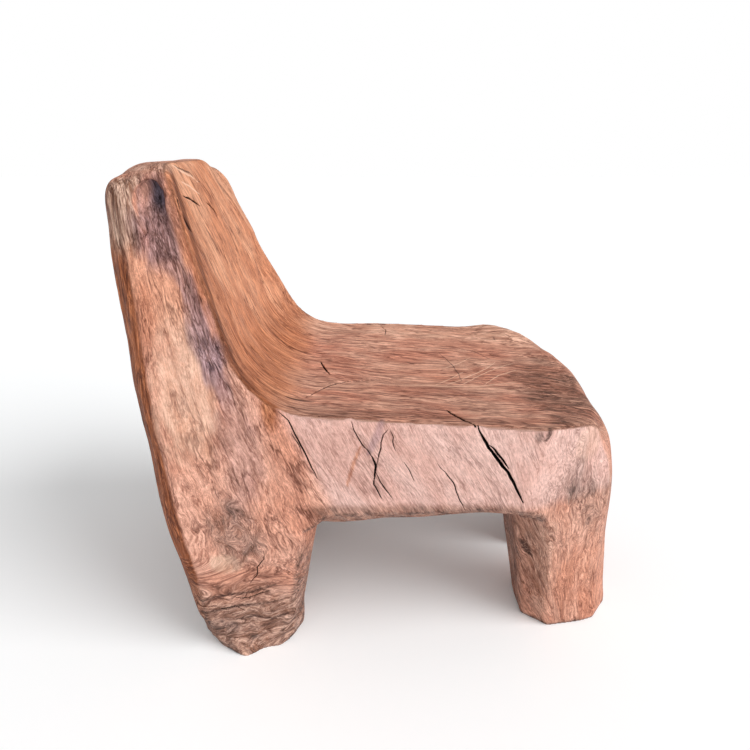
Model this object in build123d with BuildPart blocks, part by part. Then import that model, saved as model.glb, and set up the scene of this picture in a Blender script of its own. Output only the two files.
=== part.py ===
from build123d import *
import os

# A low chair carved from one hardwood log. All sizes are in millimetres.
# +X is the sitter's left, the chair faces -Y, +Z is up, and the origin is on the floor
# under the middle of the chair. The timber is parted into regions on flat planes.

# ---- overall sizes ----
height = 680.0  # floor to the top of the back
width = 505.0  # across the seat, where the log is widest
depth = 706.0  # front feet to the rear of the back

# ---- backrest ----
top_width = 380.0  # across the top of the back
top_thickness = 88.0  # front to rear at the top of the back
back_lean = 90.0  # how far the front face leans back between the seat and the top
rear_lean = 46.0  # how far the rear face stands forward at the soffit
rear_bulge = 8.0  # how far the rear face bows out between its ends
wane_across = 30.0  # rear corners left round by the log: their size across the chair
wane_along = 28.0  # the same corners, front to rear
wane_bow = 4.0  # how far their two facets bow out of the straight
top_rear_radius = 42.0
top_front_radius = 20.0
top_side_radius = 46.0

# ---- seat ----
seat_height = 384.0  # the seat's side edge, where the line of the back meets it
seat_fall = 31.0  # how much lower that edge is at the front
widest_level = 355.0  # height at which the log is widest
seat_curve_radius = 112.0  # sweep of the seat up into the back
seat_front_radius = 70.0  # roll of the seat over its front edge
front_rake = 28.0  # how far the front feet stand ahead of the seat's front edge
hollow_depth = 14.0  # hollow of the seat and the back at the middle
rim_outside = 5.0  # how far outside the seat's edges the hollow would run out

# ---- knot hollow, rotted out of the right side of the back ----
knot_height = 664.0  # floor to the crown of its arch
knot_setback = 61.0  # rear of the back forward to the middle of the arch
knot_width = 40.0  # across the arch
knot_depth = 21.0  # how far its floor lies in from the line of the side, at the crown
knot_run = 118.0  # from the crown down to the end of the channel below it
knot_lean = 17.0  # how far forward the channel has moved by its end
knot_end_width = 24.0  # across the channel at its end
knot_floor_radius = 6.0  # between the channel's floor and its walls

# ---- underside ----
soffit_height = 210.0  # underside of the seat above the floor
soffit_rise = 16.0  # how much higher the underside is at the front legs
side_draw_in = 9.0  # how far each side leans in from its widest level to the soffit
bevel_across = 28.0  # bevel along the seat's lower side edges
bevel_height = 27.0
bevel_run_out = 20.0  # how far the bevel's ends slope, front to rear

# ---- front corners, hewn in two facets ----
corner_setback = 151.0  # front of the feet back to the start of the first facet
corner_across = 57.0  # the first facet across the chair at the seat
corner_along = 100.0  # the same facet, front to rear
corner_taper = 0.97  # its width at the soffit, as a share of its width at the seat
second_slope = 0.45  # the second facet: front to rear for each step across

# ---- front legs ----
front_foot_reach = 172.0  # from the middle plane out to the foot's outermost arris
front_foot_setback = 107.0  # front of the feet back to that arris
front_knee_reach = 148.0  # from the middle plane out to the arris between two facets
front_knee_setback = 35.0  # front of the feet back to that arris
front_toe_reach = 112.0  # from the middle plane out to where the foot's front begins
front_foot_length = 141.0  # foot, front to rear
front_head_length = 173.0  # leg at the soffit, front of the feet to the back of the leg
front_foot_cut = 31.0  # rear outer corner taken off the foot, across the chair
front_head_cut = 42.0  # the same corner at the soffit
front_gap = 100.0  # between the left and right front legs

# ---- rear legs ----
rear_foot_reach = 232.0  # from the middle plane out to the foot's outermost arris
rear_foot_setback = 150.0  # rear of the back forward to that arris
rear_heel_setback = 84.0  # rear of the back forward to the heel
rear_foot_length = 135.0  # foot, front to rear
rear_head_length = 210.0  # leg at the soffit, front to rear
rear_foot_front_cut = 61.0  # front outer corner taken off the foot, across the chair
rear_foot_rear_cut = 53.0  # rear outer corner taken off the foot, across the chair
rear_foot_round = 11.0  # how far the foot's outer facets bow out
ankle_height = 62.0  # the rear feet are hewn in below this level
ankle_reach = 236.0  # from the middle plane out to the leg's side at the ankle
ankle_setback = 69.0  # rear of the back forward to the ankle's rear
ankle_front_cut = 38.0  # front outer corner at the ankle, across the chair
rear_gap = 130.0  # between the left and right rear legs

half_width = width / 2
front_end = -depth / 2
rear_end = depth / 2
seat_front_height = seat_height - seat_fall
back_front_top = rear_end - top_thickness
seat_corner = back_front_top - back_lean
front_leg_rear = front_end + front_head_length
rear_leg_front = rear_end - rear_lean - rear_head_length
margin = 30.0  # how far cutting shapes reach past the timber


def half_width_at(level):
    """Half of the log's width at a height."""
    if level <= widest_level:
        drop = (widest_level - level) / (widest_level - soffit_height)
        return half_width - side_draw_in * drop
    rise = (level - widest_level) / (height - widest_level)
    return half_width + (top_width / 2 - half_width) * rise


def front_face_at(level):
    """Y of the front face at a height between the floor and the seat."""
    return front_end + front_rake * level / seat_front_height


def rear_face_at(level):
    """Y of the straight chord of the rear face at a height."""
    return rear_end - rear_lean * (height - level) / (height - soffit_height)


def between(low, high, level):
    """Point on the straight line from low (on the floor) to high (at the widest level)."""
    share = level / widest_level
    return (low[0] + (high[0] - low[0]) * share, low[1] + (high[1] - low[1]) * share)


def facet_plane(first, second, third):
    """Plane through three points, facing away from the middle of the log."""
    first, second, third = Vector(first), Vector(second), Vector(third)
    normal = (second - first).cross(third - first).normalized()
    if normal.X * first.X < 0:
        normal = normal * -1
    return Plane(origin=first, z_dir=normal)


def bowed(start, end, bow):
    """Middle of a facet seen in plan, moved out of the timber by the bow."""
    across, along = end[0] - start[0], end[1] - start[1]
    length = (across**2 + along**2) ** 0.5
    return (
        (start[0] + end[0] + 2 * bow * along / length) / 2,
        (start[1] + end[1] - 2 * bow * across / length) / 2,
    )


def wane_outline(level):
    """Plan of the left rear corner's two facets, from the side face to the rear face."""
    side = (half_width_at(level), rear_face_at(level) - wane_along)
    rear = (half_width_at(level) - wane_across, rear_face_at(level))
    return [side, bowed(side, rear, wane_bow), rear]


def corner_outline(first, share, level):
    """First arris, second arris and front arris of a front corner of the upper timber."""
    second = (first[0] - corner_across * share, first[1] - corner_along * share)
    front = front_face_at(level)
    return [first, second, (second[0] - (second[1] - front) / second_slope, front)]


# Plan outlines of the left front corner at the widest level, the soffit and the floor.
corner_high = corner_outline((half_width, front_end + corner_setback), 1, widest_level)
corner_low = [
    (front_foot_reach, front_end + front_foot_setback),
    (front_knee_reach, front_end + front_knee_setback),
    (front_toe_reach, front_end),
]
corner_soffit = corner_outline(
    between(corner_low[0], corner_high[0], soffit_height), corner_taper, soffit_height
)


# ---- the hollow: one sweep down the back, round the curve and along the seat ----
back_run = Vector(0, back_lean, height - seat_height).normalized()
seat_run = Vector(
    0, front_face_at(seat_front_height) - seat_corner, -seat_fall
).normalized()
corner = Vector(0, seat_corner, seat_height)
rim_half = half_width + rim_outside

with BuildPart() as hollow:
    with BuildLine() as hollow_line:
        Polyline(
            corner + back_run * height,
            corner,
            corner + seat_run * depth,
        )
        fillet(hollow_line.vertices().sort_by_distance(corner)[0], radius=seat_curve_radius)
    with BuildSketch(
        Plane(origin=hollow_line.line @ 0, x_dir=(1, 0, 0), z_dir=hollow_line.line % 0)
    ):
        with BuildLine():
            ThreePointArc((-rim_half, 0), (0, -hollow_depth), (rim_half, 0))
            Polyline((rim_half, 0), (rim_half, margin), (-rim_half, margin), (-rim_half, 0))
        make_face()
    sweep(path=hollow_line.line)

# ---- the knot hollow: an arch with a channel that rises to the surface below it ----
knot_arch = (rear_end - knot_setback, knot_height - knot_width / 2)
knot_end = (knot_arch[0] - knot_lean, knot_height - knot_run + knot_end_width / 2)

with BuildPart() as knot:
    with BuildSketch(Plane.YZ):
        with Locations(knot_arch):
            Circle(knot_width / 2)
        with Locations(knot_end):
            Circle(knot_end_width / 2)
        make_hull()
    extrude(amount=-width)
    split(
        bisect_by=facet_plane(
            (knot_depth - half_width_at(knot_height), knot_arch[0], knot_height),
            (knot_depth - half_width_at(knot_height), knot_end[0], knot_height),
            (-half_width_at(knot_end[1]), knot_end[0], knot_end[1]),
        ),
        keep=Keep.TOP,
    )
    fillet(knot.faces().sort_by(Axis.X)[-1].edges(), radius=knot_floor_radius)

# ---- the upper timber: the back and the seat, hewn in one ----
soffit_side = half_width_at(soffit_height)
soffit_rear = rear_face_at(soffit_height)
bevel_top = soffit_height + bevel_height
bevel_inner = soffit_side - bevel_across
middle_level = (height + soffit_height) / 2
hands = (1, -1)  # left and right

with BuildPart() as upper:
    # side view
    with BuildSketch(Plane.YZ):
        with BuildLine():
            face = Polyline(
                (soffit_rear, soffit_height),
                (front_face_at(soffit_height), soffit_height),
                (front_face_at(seat_front_height), seat_front_height),
                (seat_corner, seat_height),
                (back_front_top, height),
                (rear_end, height),
            )
            ThreePointArc(
                face @ 1,
                (rear_face_at(middle_level) + rear_bulge, middle_level),
                face @ 0,
            )
        make_face()
        fillet(vertices().sort_by_distance((rear_end, height))[0], radius=top_rear_radius)
        fillet(
            vertices().sort_by_distance((back_front_top, height))[0],
            radius=top_front_radius,
        )
        fillet(
            vertices().sort_by_distance((seat_corner, seat_height))[0],
            radius=seat_curve_radius,
        )
        fillet(
            vertices().sort_by_distance(
                (front_face_at(seat_front_height), seat_front_height)
            )[0],
            radius=seat_front_radius,
        )
    extrude(amount=half_width + margin, both=True)

    # front view
    with BuildSketch(Plane.XZ):
        with BuildLine():
            Polyline(
                (soffit_side, soffit_height),
                (half_width, widest_level),
                (top_width / 2, height),
                (-top_width / 2, height),
                (-half_width, widest_level),
                (-soffit_side, soffit_height),
                close=True,
            )
        make_face()
        fillet(vertices().group_by(Axis.Y)[-1], radius=top_side_radius)
    extrude(amount=depth, both=True, mode=Mode.INTERSECT)

    for hand in hands:
        # wane: the log's own round left on the rear corners, above and below the widest level
        for level in (height, soffit_height):
            here, widest = wane_outline(level), wane_outline(widest_level)
            for start, end, across in zip(here, here[1:], widest):
                split(
                    bisect_by=facet_plane(
                        (hand * start[0], start[1], level),
                        (hand * end[0], end[1], level),
                        (hand * across[0], across[1], widest_level),
                    ),
                    keep=Keep.BOTTOM,
                )
        # two facets on each front corner
        for facet in (0, 1):
            low, start, end = corner_soffit[facet], corner_high[facet], corner_high[facet + 1]
            split(
                bisect_by=facet_plane(
                    (hand * low[0], low[1], soffit_height),
                    (hand * start[0], start[1], widest_level),
                    (hand * end[0], end[1], widest_level),
                ),
                keep=Keep.BOTTOM,
            )
        # bevel under the seat's side, between the legs
        outside = half_width + margin
        bevel_front = corner_soffit[0][1]
        with BuildSketch(Plane.XY.offset(soffit_height)):
            with BuildLine():
                Polyline(
                    (hand * bevel_inner, bevel_front),
                    (hand * bevel_inner, rear_leg_front),
                    (hand * outside, rear_leg_front + bevel_run_out),
                    (hand * outside, bevel_front),
                    close=True,
                )
            make_face()
        with BuildSketch(Plane.XY.offset(bevel_top)):
            with BuildLine():
                Polyline(
                    (hand * half_width_at(bevel_top), bevel_front + bevel_run_out),
                    (hand * half_width_at(bevel_top), rear_leg_front - bevel_run_out),
                    (hand * outside, rear_leg_front),
                    (hand * outside, bevel_front + bevel_run_out),
                    close=True,
                )
            make_face()
        loft(ruled=True, mode=Mode.SUBTRACT)

    # the ceiling between the legs rises towards the front legs
    with BuildSketch(Plane.YZ):
        with BuildLine():
            Polyline(
                (rear_leg_front, soffit_height),
                (front_leg_rear, soffit_height + soffit_rise),
                (front_leg_rear, soffit_height),
                close=True,
            )
        make_face()
    extrude(amount=half_width + margin, both=True, mode=Mode.SUBTRACT)

    # the hollow of the back and seat, and the knot hollow
    add(hollow.part, mode=Mode.SUBTRACT)
    add(knot.part, mode=Mode.SUBTRACT)

parting = Plane.XZ.offset(-rear_leg_front)

with BuildPart() as seat:
    add(upper.part)
    split(bisect_by=parting, keep=Keep.TOP)

with BuildPart() as backrest:
    add(upper.part)
    split(bisect_by=parting, keep=Keep.BOTTOM)

# ---- front legs: each a tapering post from its sole to the soffit ----
front_foot_back = front_end + front_foot_length


def front_leg_outline(level):
    """Corners of the left front leg at a height, from its inner rear corner round."""
    share = level / soffit_height
    back = front_foot_back + (front_leg_rear - front_foot_back) * share
    cut = front_foot_cut + (front_head_cut - front_foot_cut) * share
    corner = corner_soffit if level == soffit_height else corner_low
    return [
        (front_gap / 2, back),
        (corner[0][0] - cut, back),
        *corner,
        (front_gap / 2, front_face_at(level)),
    ]


with BuildPart() as front_leg_left:
    for level in (0, soffit_height):
        with BuildSketch(Plane.XY.offset(level)):
            with BuildLine():
                Polyline(*front_leg_outline(level), close=True)
            make_face()
    loft(ruled=True)

with BuildPart() as front_leg_right:
    mirror(front_leg_left.part, about=Plane.YZ)

# ---- rear legs: they carry the line of the back down to the floor ----
heel = rear_end - rear_heel_setback
rear_foot_front = heel - rear_foot_length
ankle_rear = rear_end - ankle_setback
foot_front_cut = (rear_foot_reach - rear_foot_front_cut, rear_foot_front)
foot_arris = (rear_foot_reach, rear_end - rear_foot_setback)
foot_rear_cut = (rear_foot_reach - rear_foot_rear_cut, heel)
ankle_share = ankle_height / soffit_height
ankle_front = rear_foot_front + (rear_leg_front - rear_foot_front) * ankle_share
rear_leg_outlines = {
    0: [
        (rear_gap / 2, rear_foot_front),
        foot_front_cut,
        bowed(foot_front_cut, foot_arris, rear_foot_round),
        foot_arris,
        bowed(foot_arris, foot_rear_cut, rear_foot_round),
        foot_rear_cut,
        (rear_gap / 2, heel),
    ],
    ankle_height: [
        (rear_gap / 2, ankle_front),
        (ankle_reach - ankle_front_cut, ankle_front),
        (ankle_reach - bevel_run_out / 2, ankle_front + bevel_run_out / 2),
        (ankle_reach, ankle_rear - wane_along),
        bowed(
            (ankle_reach, ankle_rear - wane_along),
            (ankle_reach - wane_across, ankle_rear),
            rear_foot_round / 2,
        ),
        (ankle_reach - wane_across, ankle_rear),
        (rear_gap / 2, ankle_rear),
    ],
    soffit_height: [
        (rear_gap / 2, rear_leg_front),
        (bevel_inner, rear_leg_front),
        (soffit_side, rear_leg_front + bevel_run_out),
        *wane_outline(soffit_height),
        (rear_gap / 2, soffit_rear),
    ],
}

with BuildPart() as rear_leg_left:
    for level, outline in rear_leg_outlines.items():
        with BuildSketch(Plane.XY.offset(level)):
            with BuildLine():
                Polyline(*outline, close=True)
            make_face()
    loft(ruled=True)

with BuildPart() as rear_leg_right:
    mirror(rear_leg_left.part, about=Plane.YZ)

os.makedirs("parts", exist_ok=True)

backrest.part.label = "backrest"
export_step(backrest.part, "parts/backrest.step")

seat.part.label = "seat"
export_step(seat.part, "parts/seat.step")

front_leg_left.part.label = "front_leg_left"
export_step(front_leg_left.part, "parts/front_leg_left.step")

front_leg_right.part.label = "front_leg_right"
export_step(front_leg_right.part, "parts/front_leg_right.step")

rear_leg_left.part.label = "rear_leg_left"
export_step(rear_leg_left.part, "parts/rear_leg_left.step")

rear_leg_right.part.label = "rear_leg_right"
export_step(rear_leg_right.part, "parts/rear_leg_right.step")
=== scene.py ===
"""A low chair hewn from one log: worn, cracked hardwood modelled over its CAD frame.

The CAD regions are merged, remeshed and smoothed into one skin, which is carved by small
functions (dabs, cracks, hollows, ridges) whose places are real sizes in millimetres. The
skin carries its grain directions and its stains as named attributes. It is then parted
again, on or close below the CAD's own planes, so that each CAD node has a visual piece.
"""

import itertools
import math
from contextlib import contextmanager
from types import SimpleNamespace

import bmesh
import bpy
import numpy as np
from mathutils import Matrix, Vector


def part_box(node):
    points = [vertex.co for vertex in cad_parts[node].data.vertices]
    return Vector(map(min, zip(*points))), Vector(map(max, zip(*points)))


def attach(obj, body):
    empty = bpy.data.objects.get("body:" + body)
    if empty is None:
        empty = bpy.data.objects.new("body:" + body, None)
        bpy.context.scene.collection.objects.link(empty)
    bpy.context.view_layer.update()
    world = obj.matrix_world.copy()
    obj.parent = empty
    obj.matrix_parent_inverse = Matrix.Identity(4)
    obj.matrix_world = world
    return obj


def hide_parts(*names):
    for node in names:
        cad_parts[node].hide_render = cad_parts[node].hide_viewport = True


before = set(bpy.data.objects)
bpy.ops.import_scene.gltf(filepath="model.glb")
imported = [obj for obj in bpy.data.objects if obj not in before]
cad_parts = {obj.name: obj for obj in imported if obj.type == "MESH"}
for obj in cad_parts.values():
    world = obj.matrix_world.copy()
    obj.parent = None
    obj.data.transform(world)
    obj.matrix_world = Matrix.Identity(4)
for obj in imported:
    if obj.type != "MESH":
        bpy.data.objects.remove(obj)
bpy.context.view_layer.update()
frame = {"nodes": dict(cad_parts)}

MM = 0.001
VOXEL = 2.5 * MM
SOFFIT_SAG = 8 * MM  # the legs are cut this far below the CAD's level, clear of the soffit
RIGHT, LEFT = -1, 1  # the sitter's right is -X


def placed(name, data):
    """A new object in the scene."""
    thing = bpy.data.objects.new(name, data)
    bpy.context.scene.collection.objects.link(thing)
    return thing


# ---------------- camera ----------------

CAMERA_AT = (-1.0685, 0.025, 0.706)
CAMERA_PITCH = 18.49  # degrees below the horizon
CAMERA_YAW = 0.5  # degrees towards the chair's front
FOCAL = 33.6  # mm, on a sensor that is SENSOR wide
SENSOR = 36


def add_camera():
    data = bpy.data.cameras.new("camera")
    data.lens = FOCAL
    data.sensor_width = SENSOR
    data.clip_start, data.clip_end = 0.05, 50
    camera = placed("camera", data)
    camera.location = CAMERA_AT
    turn = math.radians(-90 - CAMERA_YAW)
    camera.rotation_euler = (math.radians(90 - CAMERA_PITCH), 0, turn)
    bpy.context.scene.camera = camera


# ---------------- small maths ----------------


def smooth(low, high, value):
    """0 below low, 1 above high, with a smooth step between. low may be above high."""
    t = np.clip((value - low) / (high - low), 0, 1)
    return t * t * (3 - 2 * t)


def hashed(i, j, k, seed):
    """A repeatable number from 0 to 1 for each lattice point."""
    n = (i * 73856093) ^ (j * 19349663) ^ (k * 83492791) ^ (seed * 2654435761)
    n = (n ^ (n >> 13)) * 1274126177
    n = n ^ (n >> 16)
    return (n & 0xFFFFFF) / float(0xFFFFFF)


def noise(points, size, seed=0):
    """Smooth noise from -1 to 1 at points; size is its wavelength, one number or three."""
    p = points / size
    cell = np.floor(p).astype(np.int64)
    f = p - cell
    f = f * f * (3 - 2 * f)
    total = np.zeros(len(p))
    for corner in itertools.product((0, 1), repeat=3):
        share = np.where(corner, f, 1 - f)
        total += share[:, 0] * share[:, 1] * share[:, 2] * hashed(*(cell + corner).T, seed)
    return total * 2 - 1


def fractal(points, size, seed=0, octaves=3):
    """Noise with finer noise added, still about -1 to 1."""
    size = np.asarray(size, float)
    total = sum(noise(points, size / 2**n, seed + n) / 2**n for n in range(octaves))
    return total / (2 - 2 ** (1 - octaves))


def nearest_on(path, points):
    """For each 2-D point: its distance to a path, the way along it, segment and gap."""
    away = np.full(len(points), 1e9)
    along, segment, gap = np.zeros(len(points)), np.zeros(len(points), int), points * 0.0
    done = 0.0
    for number, (start, end) in enumerate(zip(path, path[1:])):
        step = end - start
        length = np.linalg.norm(step)
        t = np.clip(((points - start) @ step) / length**2, 0, 1)
        here = points - (start + t[:, None] * step)
        distance = np.linalg.norm(here, axis=1)
        nearer = distance < away
        away[nearer], segment[nearer], gap[nearer] = distance[nearer], number, here[nearer]
        along[nearer] = done + t[nearer] * length
        done += length
    return away, along, segment, gap


def path_distance(points, path):
    """For each 2-D point: its distance to a path, and how far along the path, 0 to 1."""
    path = np.array(path, float)
    away, along, _, _ = nearest_on(path, points)
    return away, along / np.linalg.norm(np.diff(path, axis=0), axis=1).sum()


# ---------------- the timber skin ----------------


@contextmanager
def edited(mesh):
    """A mesh opened for editing, then written back."""
    bm = bmesh.new()
    bm.from_mesh(mesh)
    yield bm
    bm.to_mesh(mesh)
    bm.free()


def merged_skin():
    """The six CAD regions as one remeshed skin."""
    mesh = bpy.data.meshes.new("timber")
    with edited(mesh) as bm:
        for node in frame["nodes"].values():
            bm.from_mesh(node.data)
    source = placed("timber_source", mesh)
    remesh = source.modifiers.new("remesh", "REMESH")
    remesh.mode = "VOXEL"
    remesh.voxel_size = VOXEL
    evaluated = source.evaluated_get(bpy.context.evaluated_depsgraph_get())
    skin = bpy.data.meshes.new_from_object(evaluated)
    bpy.data.objects.remove(source)
    return skin


def read(items, field, width, kind=np.float32):
    """A field of a mesh's items as an array, a row of width numbers for each item."""
    values = np.empty(len(items) * width, kind)
    items.foreach_get(field, values)
    return values.reshape(-1, width)


def positions(mesh):
    """Vertex positions in millimetres."""
    return read(mesh.vertices, "co", 3).astype(float) / MM


def set_positions(mesh, points):
    mesh.vertices.foreach_set("co", (points * MM).astype(np.float32).ravel())
    mesh.update()


def normals_of(mesh):
    return read(mesh.vertex_normals, "vector", 3).astype(float)


def edges_of(mesh):
    return read(mesh.edges, "vertices", 2, np.int32)


def store(mesh, name, values):
    """Keeps one number or one vector for each vertex as a named attribute."""
    kind, field = ("FLOAT", "value") if values.ndim == 1 else ("FLOAT_VECTOR", "vector")
    layer = mesh.attributes.new(name, kind, "POINT")
    layer.data.foreach_set(field, values.astype(np.float32).ravel())


def relax(values, edges, rounds, share):
    """Laplacian smoothing of per-vertex values; share is one number or one a vertex."""
    first, second = edges.T
    size = len(values)
    count = np.bincount(edges.ravel(), minlength=size)[:, None]
    share = np.broadcast_to(share, (size,))[:, None]
    for _ in range(rounds):
        sums = [np.bincount(first, v[second], size) + np.bincount(second, v[first], size)
            for v in values.T]
        values = values + share * (np.stack(sums, axis=1) / count - values)
    return values


def refine(mesh, wanted):
    """Halves the faces whose vertices are all wanted, a function of positions."""
    near = wanted(positions(mesh))
    with edited(mesh) as bm:
        edges = [e for e in bm.edges if near[e.verts[0].index] and near[e.verts[1].index]]
        bmesh.ops.subdivide_edges(bm, edges=edges, cuts=1, use_grid_fill=True)


# ---------------- the side view of the chair ----------------
# Places below are (y, z) in millimetres, y towards the chair's rear, unless said otherwise.

PROFILE = [(272, 690), (175, 384), (-326, 353), (-353, 0)]  # the face of back, seat, front
PROFILE_RADII = (112, 62)
WANE_LINE = [(324, 700), (324, 575), (312, 485), (300, 392), (289, 290), (269, 165), (241, 0)]
BACK_ARRIS = [(269, 673), (243, 580), (222, 521), (204, 467), (185, 436), (141, 396)]
ARC_POINTS = 12  # points on each rounded corner of the profile


def rounded_path(points, radii):
    """Points along a path with its inner corners rounded."""
    points = [np.array(p, float) for p in points]
    path = [points[0]]
    for before, corner, after, radius in zip(points, points[1:], points[2:], radii):
        into = (corner - before) / np.linalg.norm(corner - before)
        out = (after - corner) / np.linalg.norm(after - corner)
        half = math.acos(np.clip(into @ out, -1, 1)) / 2
        reach = radius * math.tan(half)
        bisector = (out - into) / np.linalg.norm(out - into)
        centre = corner + bisector * radius / math.cos(half)
        first = corner - into * reach - centre
        sweep = 2 * half * np.sign(into[0] * out[1] - into[1] * out[0])
        for share in np.linspace(0, 1, ARC_POINTS):
            c, q = math.cos(sweep * share), math.sin(sweep * share)
            turned = np.array([c * first[0] - q * first[1], q * first[0] + c * first[1]])
            path.append(centre + turned)
    path.append(points[-1])
    return np.array(path)


def along_profile(points):
    """Distance along the face of back and seat, depth below it, and the face's normal."""
    path = rounded_path(PROFILE, PROFILE_RADII)
    _, along, segment, gap = nearest_on(path, points[:, 1:])
    step = np.diff(path, axis=0)
    out = np.stack([step[:, 1], -step[:, 0]], 1) / np.linalg.norm(step, axis=1)[:, None]
    out = out[segment]
    facing = np.column_stack([np.zeros(len(out)), out])
    return along, -(gap * out).sum(axis=1), facing


def line_y(line, z):
    """Y of a line given as (y, z) points, at heights z."""
    ys, zs = zip(*sorted(line, key=lambda p: p[1]))
    return np.interp(z, zs, ys)


# ---------------- hewn shape ----------------

# name: (centre, reach, push); the surface within reach of centre moves by up to push.
DABS = {
    "near_top_corner": ((-170, 330, 684), 60, (0, -2, -8)),
    "near_rear_shoulder": ((-195, 348, 645), 50, (0, 5, 0)),
    "far_top_corner": ((165, 288, 690), 115, (0, 9, -15)),
    "far_back_face": ((225, 190, 445), 105, (0, -16, 0)),
    "back_rear_upper": ((-150, 350, 560), 150, (0, 5, 0)),
    "back_rear_lower": ((-235, 318, 330), 95, (0, -5, 0)),
    "far_seat_rear": ((245, 80, 376), 85, (0, 0, -5)),
    "far_seat_shoulder": ((228, -228, 366), 90, (0, 0, 13)),
    "far_front_corner": ((190, -310, 345), 55, (0, 4, -6)),
    "front_edge_middle": ((60, -330, 345), 110, (0, -5, 3)),
    "near_front_corner": ((-190, -325, 345), 80, (3, 15, -6)),
    "near_front_face": ((-150, -330, 235), 120, (0, -6, 0)),
    "far_front_leg_rear": ((95, -200, 0), 190, (0, -40, 0)),
    "near_front_foot": ((-160, -305, 0), 80, (-8, -5, 0)),
    "near_rear_foot_sole": ((-228, 207, 0), 40, (-7, 0, 0)),
    "near_rear_foot_toe": ((-203, 150, 0), 40, (-7, -4, 0)),
    "front_roll": ((-120, -335, 310), 120, (0, 6, -2)),
    "rear_low_back": ((-225, 285, 130), 70, (0, -5, 0)),
    "far_back_upper": ((205, 262, 600), 60, (0, 8, 0)),
    "under_edge_rear": ((-225, 60, 212), 65, (0, 0, -4)),
    "under_edge_front": ((-225, -120, 224), 80, (0, 0, 5)),
    "sitter_dip": ((0, -60, 350), 190, (0, 0, -3)),
    "rear_heel": ((-215, 285, 55), 80, (0, -7, 0)),
    "rear_toe": ((-190, 132, 22), 45, (0, -7, 0)),
    "foot_scar": ((-236, 232, 43), 34, (7, -4, 0)),
    "seat_dent": ((-90, 70, 365), 55, (0, 0, -2)),
    "front_leg_hollow": ((-205, -205, 140), 60, (5, 0, 0)),
}

KNOT_TOP = (292, 664)  # crown of the arched rim of the knot hollow, on the right side
KNOT_HALF_WIDTH = 20.0
KNOT_ARCH = 16.0  # height of the rim's arch
KNOT_DEPTH = 2.5  # beyond what the CAD's own hollow has
KNOT_DROP = 48.0  # the channel fades out over about this height
BACK_LEAN = 0.16  # the back's lean at the knot hollow, mm of y for each mm of z


def dabbed(points):
    """Soft local pushes that make the two sides of the chair unlike."""
    moved = points.copy()
    for centre, reach, push in DABS.values():
        away = np.linalg.norm(points - centre, axis=1)
        moved += smooth(reach, 0, away)[:, None] * push
    return moved


def undulation(points):
    """Height of the adze's long shallow cuts, worn smooth."""
    broad = fractal(points, (95, 95, 120), seed=3, octaves=2)
    narrow = noise(points, (34, 34, 46), seed=9)
    return 1.9 * broad + 0.55 * narrow


def side_facing(normals, hand):
    return smooth(0.35, 0.7, normals[:, 0] * hand)


def knot_hollow(points, normals):
    """The knot hollow with its channel: its depth, its share and the shade painted in it."""
    y, z = points[:, 1], points[:, 2]
    below = KNOT_TOP[1] - z
    middle = KNOT_TOP[0] - BACK_LEAN * below + 3 * np.sin(below / 17)
    half_width = KNOT_HALF_WIDTH * np.sqrt(np.clip(below / KNOT_ARCH, 0, 1)) + 0.06 * below
    inner = half_width - np.abs(y - middle)
    inside = smooth(0, 9, inner) * smooth(-1, 5, below)
    fading = np.exp(-np.clip(below, 0, None) / KNOT_DROP)
    share = inside * smooth(0.1, 0.4, -normals[:, 0]) * smooth(120, 90, below)
    under_rim = 1.6 * smooth(-4, 12, middle - y) * smooth(60, 20, below)
    # painted shade: the hollow's front part below the rim, and a thin line along the rim
    rim = smooth(-1, 2, inner) * smooth(8, 4, inner) * smooth(75, 40, below)
    front = smooth(-8, 6, middle - y)
    dark = np.maximum(front * smooth(52, 26, below), rim * (0.6 + 0.4 * front)) * share
    return KNOT_DEPTH * (fading + under_rim) * share, share, dark


def fibres(points, normals):
    """Raised and sunken fibres, a centimetre apart, where weather has opened the grain."""
    y, z = points[:, 1], points[:, 2]
    right = side_facing(normals, RIGHT)
    around_knot = 1.7 * right * smooth(540, 610, z) * smooth(255, 280, y)
    wane = smooth(-6, 6, y - line_y(WANE_LINE, z)) * 0.5
    foot = smooth(60, 25, z) * smooth(100, 140, y) * 0.6
    share = np.clip(around_knot + wane + foot, 0, 1.7)
    ridges = noise(points, (9, 9, 120), seed=21) + 0.6 * noise(points, (5.5, 5.5, 70), 22)
    return 0.9 * share * ridges


def arris_roll(points, normals):
    """The worn ridge beside the right front arris of the back, and the groove along it."""
    y, z = points[:, 1], points[:, 2]
    beside = y - line_y(BACK_ARRIS, z)
    level = smooth(400, 440, z) * smooth(676, 640, z) * smooth(-20, -60, points[:, 0])
    roll = np.exp(-(((beside - 13) / 5) ** 2)) - 1.3 * np.exp(-(((beside - 3) / 4) ** 2))
    return 1.6 * roll * level * side_facing(normals, RIGHT)


def torn_ends(points):
    """Broken, chewed ends of the feet."""
    rear = smooth(70, 140, points[:, 1]) * smooth(46, 12, points[:, 2])
    front = smooth(-150, -190, points[:, 1]) * smooth(40, 8, points[:, 2]) * 0.8
    return (rear + front) * 2.6 * fractal(points, 17, seed=40, octaves=2)


# ---------------- cracks ----------------
# name: (axis looked along, width, depth, path of points). A path seen from the right, along
# X, is (y, z). Seen from above, along Z, it is (x, y), and from the front, along Y, (x, z).

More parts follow.
